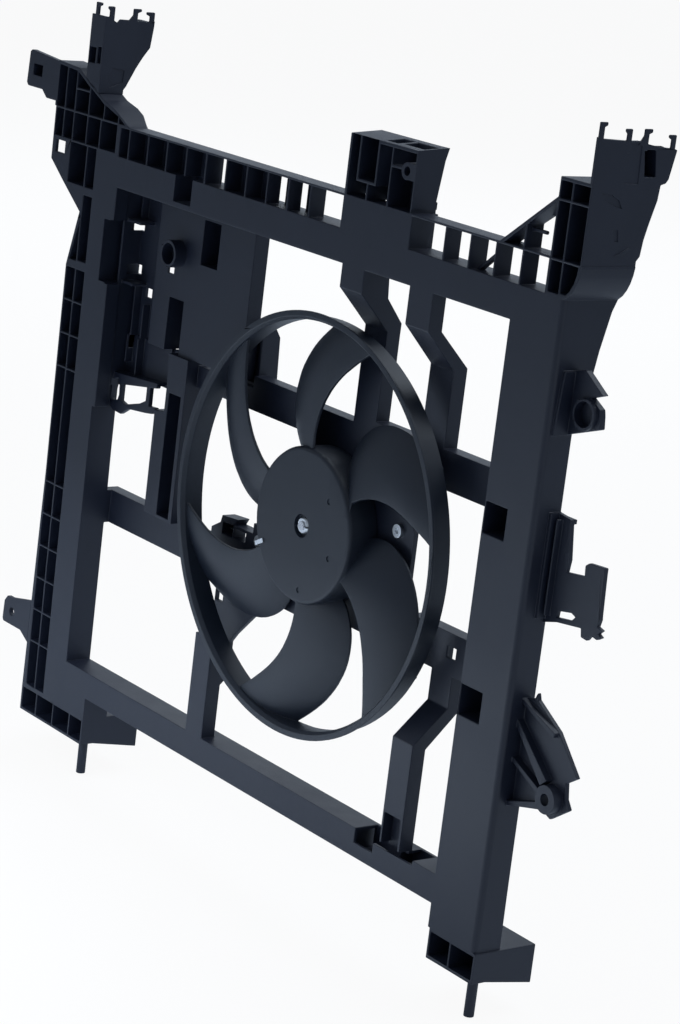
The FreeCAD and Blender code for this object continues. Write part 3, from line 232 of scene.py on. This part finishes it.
def moulded_plastic(name, base, light, roughness):
    """Dark glass-filled plastic: clouded flow marks, fine grain and a little dust."""
    finish = Finish(name)
    cloud = finish.ramp(finish.noise(9.0, 4.0, 0.55), 0.3, 0.7)
    flow = finish.ramp(finish.noise(34.0, 3.0, 0.6, (1.0, 1.0, 0.25)), 0.35, 0.75)
    speck = finish.ramp(finish.noise(420.0, 2.0, 0.7), 0.62, 0.8)
    tone = finish.mix(cloud * 0.6 + flow * 0.4, colour(*base), colour(*light))
    dust = tuple(value * 1.9 for value in light)
    finish.set(Base_Color=finish.mix(speck * 0.22, tone, colour(*dust)))
    finish.set(Roughness=roughness + cloud * 0.05 + flow * 0.05 + speck * 0.08)
    grain = finish.noise(2600.0, 2.0, 0.6)
    wave = finish.noise(60.0, 2.0, 0.5)
    finish.bump(grain * 0.35 + wave * 1.0, 0.25, 0.0006)
    finish.set(IOR=1.5)
    return finish.material


def bare_metal(name, base, roughness, scratch=900.0):
    """Bright or ground metal with fine scratches."""
    finish = Finish(name)
    fine = finish.noise(scratch, 3.0, 0.6, (1.0, 0.08, 1.0))
    stain = finish.ramp(finish.noise(70.0, 3.0, 0.5), 0.4, 0.75)
    dark = tuple(value * 0.72 for value in base)
    finish.set(Base_Color=finish.mix(stain * 0.6, colour(*base), colour(*dark)), Metallic=1.0)
    finish.set(Roughness=roughness + fine * 0.12 + stain * 0.1)
    finish.bump(fine, 0.2, 0.0002)
    return finish.material


def coated_metal(name, base, roughness):
    """Painted or lacquered metal with a soft orange peel."""
    finish = Finish(name)
    peel = finish.noise(300.0, 2.0, 0.5)
    stain = finish.ramp(finish.noise(40.0, 4.0, 0.6), 0.4, 0.8)
    light = tuple(value * 1.7 for value in base)
    finish.set(Base_Color=finish.mix(stain * 0.5, colour(*base), colour(*light)))
    finish.set(Roughness=roughness + stain * 0.1)
    finish.bump(peel, 0.15, 0.0003)
    return finish.material


def wound_copper(name, base, dark):
    """Turns of lacquered wire as fine ridges, with painted shade in the grooves between them."""
    finish = Finish(name)
    wire = finish.node("ShaderNodeTexWave", {"wave_type": "RINGS", "rings_direction": "Y"}, {
        "Vector": finish.place, "Scale": 260.0, "Distortion": 1.5, "Detail": 1.0})
    # Painted shade: the grooves between turns, where the bump is lowest, take the dark colour.
    finish.set(Base_Color=finish.mix(wire, colour(*dark), colour(*base)))
    finish.set(Metallic=0.7, Roughness=0.35)
    finish.bump(wire, 0.5, 0.0004)
    return finish.material


make_camera()

FINISHES = {
    "frame_plastic": moulded_plastic(
        "frame_plastic", (0.0060, 0.0090, 0.0200), (0.0100, 0.0135, 0.0270), 0.42),
    "wheel_plastic": moulded_plastic(
        "wheel_plastic", (0.0060, 0.0100, 0.0185), (0.0095, 0.0140, 0.0250), 0.40),
    "motor_steel": coated_metal("motor_steel", (0.02, 0.02, 0.022), 0.32),
    "bearing_steel": bare_metal("bearing_steel", (0.60, 0.60, 0.62), 0.22),
    "shaft_steel": bare_metal("shaft_steel", (0.62, 0.62, 0.64), 0.2),
    "ferrite": coated_metal("ferrite", (0.07, 0.07, 0.075), 0.6),
    "core_steel": bare_metal("core_steel", (0.35, 0.35, 0.37), 0.4),
    # The second copper wire colour is painted shade for the grooves between turns.
    "copper_wire": wound_copper("copper_wire", (0.62, 0.27, 0.12), (0.2, 0.07, 0.03)),
    "copper_bars": bare_metal("copper_bars", (0.75, 0.40, 0.25), 0.3),
    "brush_plastic": coated_metal("brush_plastic", (0.24, 0.14, 0.08), 0.5),
    "carbon": coated_metal("carbon", (0.04, 0.04, 0.042), 0.7),
    "spring_steel": bare_metal("spring_steel", (0.5, 0.5, 0.5), 0.3),
    "screw_zinc": bare_metal("screw_zinc", (0.80, 0.82, 0.84), 0.22),
    "terminal_tin": bare_metal("terminal_tin", (0.72, 0.72, 0.70), 0.25),
}
SLOT_OF = {row["node"]: row["material_slot"] for row in RECORD["subparts"]}


def paint(piece, finish):
    """Gives a piece one material."""
    piece.data.materials.clear()
    piece.data.materials.append(finish)
    for face in piece.data.polygons:
        face.material_index = 0


def use(piece):
    """Makes a piece the only selected and active object."""
    bpy.ops.object.select_all(action="DESELECT")
    piece.select_set(True)
    bpy.context.view_layer.objects.active = piece


def copy_node(node, name):
    """A merged copy of a CAD node without the normals it was stored with."""
    mesh = frame["nodes"][node].data.copy()
    mesh.name = name
    piece = bpy.data.objects.new(name, mesh)
    bpy.context.scene.collection.objects.link(piece)
    use(piece)
    bpy.ops.mesh.customdata_custom_splitnormals_clear()
    work = bmesh.new()
    work.from_mesh(mesh)
    bmesh.ops.remove_doubles(work, verts=work.verts, dist=COPY_MERGE)
    work.to_mesh(mesh)
    work.free()
    return piece


def combine(piece, others, operation):
    """Joins the other pieces into the first as one moulding, or cuts them out of it."""
    for other in others:
        use(piece)
        step = piece.modifiers.new("step", "BOOLEAN")
        step.operation = operation
        step.solver = "MANIFOLD"
        step.object = other
        bpy.ops.object.modifier_apply(modifier=step.name)
        bpy.data.objects.remove(other)


def block(low, high):
    """A block given in millimetres from the fan axis and the panel's front face."""
    work = bmesh.new()
    bmesh.ops.create_cube(work, size=1.0)
    for vertex in work.verts:
        share = vertex.co + Vector((0.5, 0.5, 0.5))
        place = Vector(first + part * (last - first) for first, last, part in zip(low, high, share))
        vertex.co = PANEL_FRONT + place * MM
    mesh = bpy.data.meshes.new("block")
    work.to_mesh(mesh)
    work.free()
    piece = bpy.data.objects.new("block", mesh)
    bpy.context.scene.collection.objects.link(piece)
    return piece


def cut_strut_seat(panel):
    """Dark pocket in the top of the bottom beam, where the lower right strut ends."""
    combine(panel, [block(*SEAT_BACK_PLATE)], "UNION")
    combine(panel, [block(low, high) for low, high in SEAT_CUTS], "DIFFERENCE")


def merge_flat_areas(work):
    """Merges triangles of flat areas into faces no larger than the cells of a grid."""
    bmesh.ops.remove_doubles(work, verts=work.verts, dist=FUSED_MERGE)
    low, high = cad_bounds
    for axis, boss_places in BOSS_PLANES.items():
        across = Vector((0, 0, 0))
        across[axis] = 1.0
        count = int((high[axis] - low[axis]) / GRID_SPACING)
        places = [low[axis] + (GRID_START + step) * GRID_SPACING for step in range(count + 1)]
        for place in places + list(boss_places):
            geometry = work.verts[:] + work.edges[:] + work.faces[:]
            result = bmesh.ops.bisect_plane(
                work, geom=geometry, dist=CUT_TOLERANCE, plane_co=across * place, plane_no=across)
            for item in result["geom_cut"]:
                if isinstance(item, bmesh.types.BMEdge):
                    item.seam = True
    bmesh.ops.dissolve_limit(
        work, angle_limit=math.radians(FLAT_WITHIN), verts=work.verts, edges=work.edges,
        delimit={"SEAM"})
    many_sided = [face for face in work.faces if len(face.verts) > 4]
    bmesh.ops.connect_verts_concave(work, faces=many_sided)


def round_edges(piece, radius):
    """Rounds the sharp edges, less where there is little room, and shades the flat areas flat."""
    work = bmesh.new()
    work.from_mesh(piece.data)
    merge_flat_areas(work)
    weight = work.edges.layers.float.new("bevel_weight_edge")
    room = {vertex: min(edge.calc_length() for edge in vertex.link_edges) for vertex in work.verts
            if vertex.link_edges}
    for edge in work.edges:
        if len(edge.link_faces) == 2 and edge.calc_face_angle(0.0) > math.radians(ROUNDED_ABOVE):
            free = ROOM_SHARE * min(room[vertex] for vertex in edge.verts)
            edge[weight] = min(1.0, free / radius)
    work.to_mesh(piece.data)
    work.free()
    use(piece)
    bevel = piece.modifiers.new("rounded edges", "BEVEL")
    bevel.limit_method = "WEIGHT"
    bevel.width = radius
    bevel.segments = BEVEL_SEGMENTS
    bevel.use_clamp_overlap = False
    bpy.ops.object.modifier_apply(modifier=bevel.name)
    bpy.ops.object.shade_smooth_by_angle(angle=math.radians(MOULDING_SHARP_ABOVE))
    normals = piece.modifiers.new("flat areas", "WEIGHTED_NORMAL")
    normals.keep_sharp = True
    bpy.ops.object.modifier_apply(modifier=normals.name)


def panel_moulding():
    """The whole panel as the one moulding that it is."""
    copies = [copy_node(node, node + "_copy") for node in MOULDED_NODES]
    panel = copies[0]
    combine(panel, copies[1:], "UNION")
    cut_strut_seat(panel)
    panel.name = "panel_moulding"
    round_edges(panel, PANEL_RADIUS)
    paint(panel, FINISHES["frame_plastic"])
    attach(panel, "frame")
    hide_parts(*MOULDED_NODES)


def wheel_moulding():
    """Hub, blades and ring with rounded edges."""
    wheel = copy_node("fan_wheel", "wheel_moulding")
    round_edges(wheel, WHEEL_RADIUS)
    paint(wheel, FINISHES["wheel_plastic"])
    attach(wheel, "rotor")
    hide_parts("fan_wheel")


def carried_nodes():
    """CAD nodes that are shown as they are, with their own finishes."""
    for name, node in frame["nodes"].items():
        if name in MOULDED_NODES or name == "fan_wheel":
            continue
        paint(node, FINISHES[SLOT_OF[name]])
        use(node)
        bpy.ops.object.shade_smooth_by_angle(angle=math.radians(NODE_SHARP_ABOVE))


def make_surroundings():
    """White to the camera, and a soft even light for the object."""
    world = bpy.data.worlds.new("studio")
    world.use_nodes = True
    bpy.context.scene.world = world
    nodes, links = world.node_tree.nodes, world.node_tree.links
    background = nodes["Background"]
    background.inputs["Color"].default_value = SKY_COLOUR
    background.inputs["Strength"].default_value = SKY_STRENGTH
    white = nodes.new("ShaderNodeBackground")
    white.inputs["Color"].default_value = WHITE
    white.inputs["Strength"].default_value = 1.0
    path = nodes.new("ShaderNodeLightPath")
    mix = nodes.new("ShaderNodeMixShader")
    links.new(path.outputs["Is Camera Ray"], mix.inputs[0])
    links.new(background.outputs[0], mix.inputs[1])
    links.new(white.outputs[0], mix.inputs[2])
    links.new(mix.outputs[0], nodes["World Output"].inputs["Surface"])


def make_floor():
    """Large pale floor that keeps the object's shadow."""
    level = cad_bounds[0][2] - FLOOR_GAP
    bpy.ops.object.select_all(action="DESELECT")
    bpy.ops.mesh.primitive_plane_add(size=FLOOR_SIZE, location=(0.0, 0.0, level))
    floor = bpy.context.object
    floor.name = "floor"
    finish = Finish("pale_floor")
    finish.set(Base_Color=FLOOR_COLOUR, Roughness=0.9)
    glow = finish.node("ShaderNodeEmission", {}, {"Color": WHITE, "Strength": 1.0})
    camera_ray = finish.node("ShaderNodeLightPath", {}, {}, "Is Camera Ray")
    shader = Socket(finish, finish.shader.outputs[0])
    mixed = finish.node("ShaderNodeMixShader", {}, {
        0: camera_ray * FLOOR_GLOW, 1: shader, 2: glow})
    finish.feed(finish.nodes["Material Output"].inputs["Surface"], mixed)
    floor.data.materials.append(finish.material)


def make_lamps():
    """Wide soft lamps."""
    for name, place, target, width, power in LAMPS:
        data = bpy.data.lights.new(name, "AREA")
        data.shape = "DISK"
        data.size = width
        data.energy = power
        data.color = LAMP_COLOUR
        lamp = bpy.data.objects.new(name, data)
        bpy.context.scene.collection.objects.link(lamp)
        lamp.location = place
        lamp.rotation_mode = "QUATERNION"
        lamp.rotation_quaternion = (Vector(target) - Vector(place)).to_track_quat("-Z", "Y")


panel_moulding()
wheel_moulding()
carried_nodes()
make_surroundings()
make_floor()
make_lamps()
bpy.context.scene.view_settings.view_transform = "Standard"
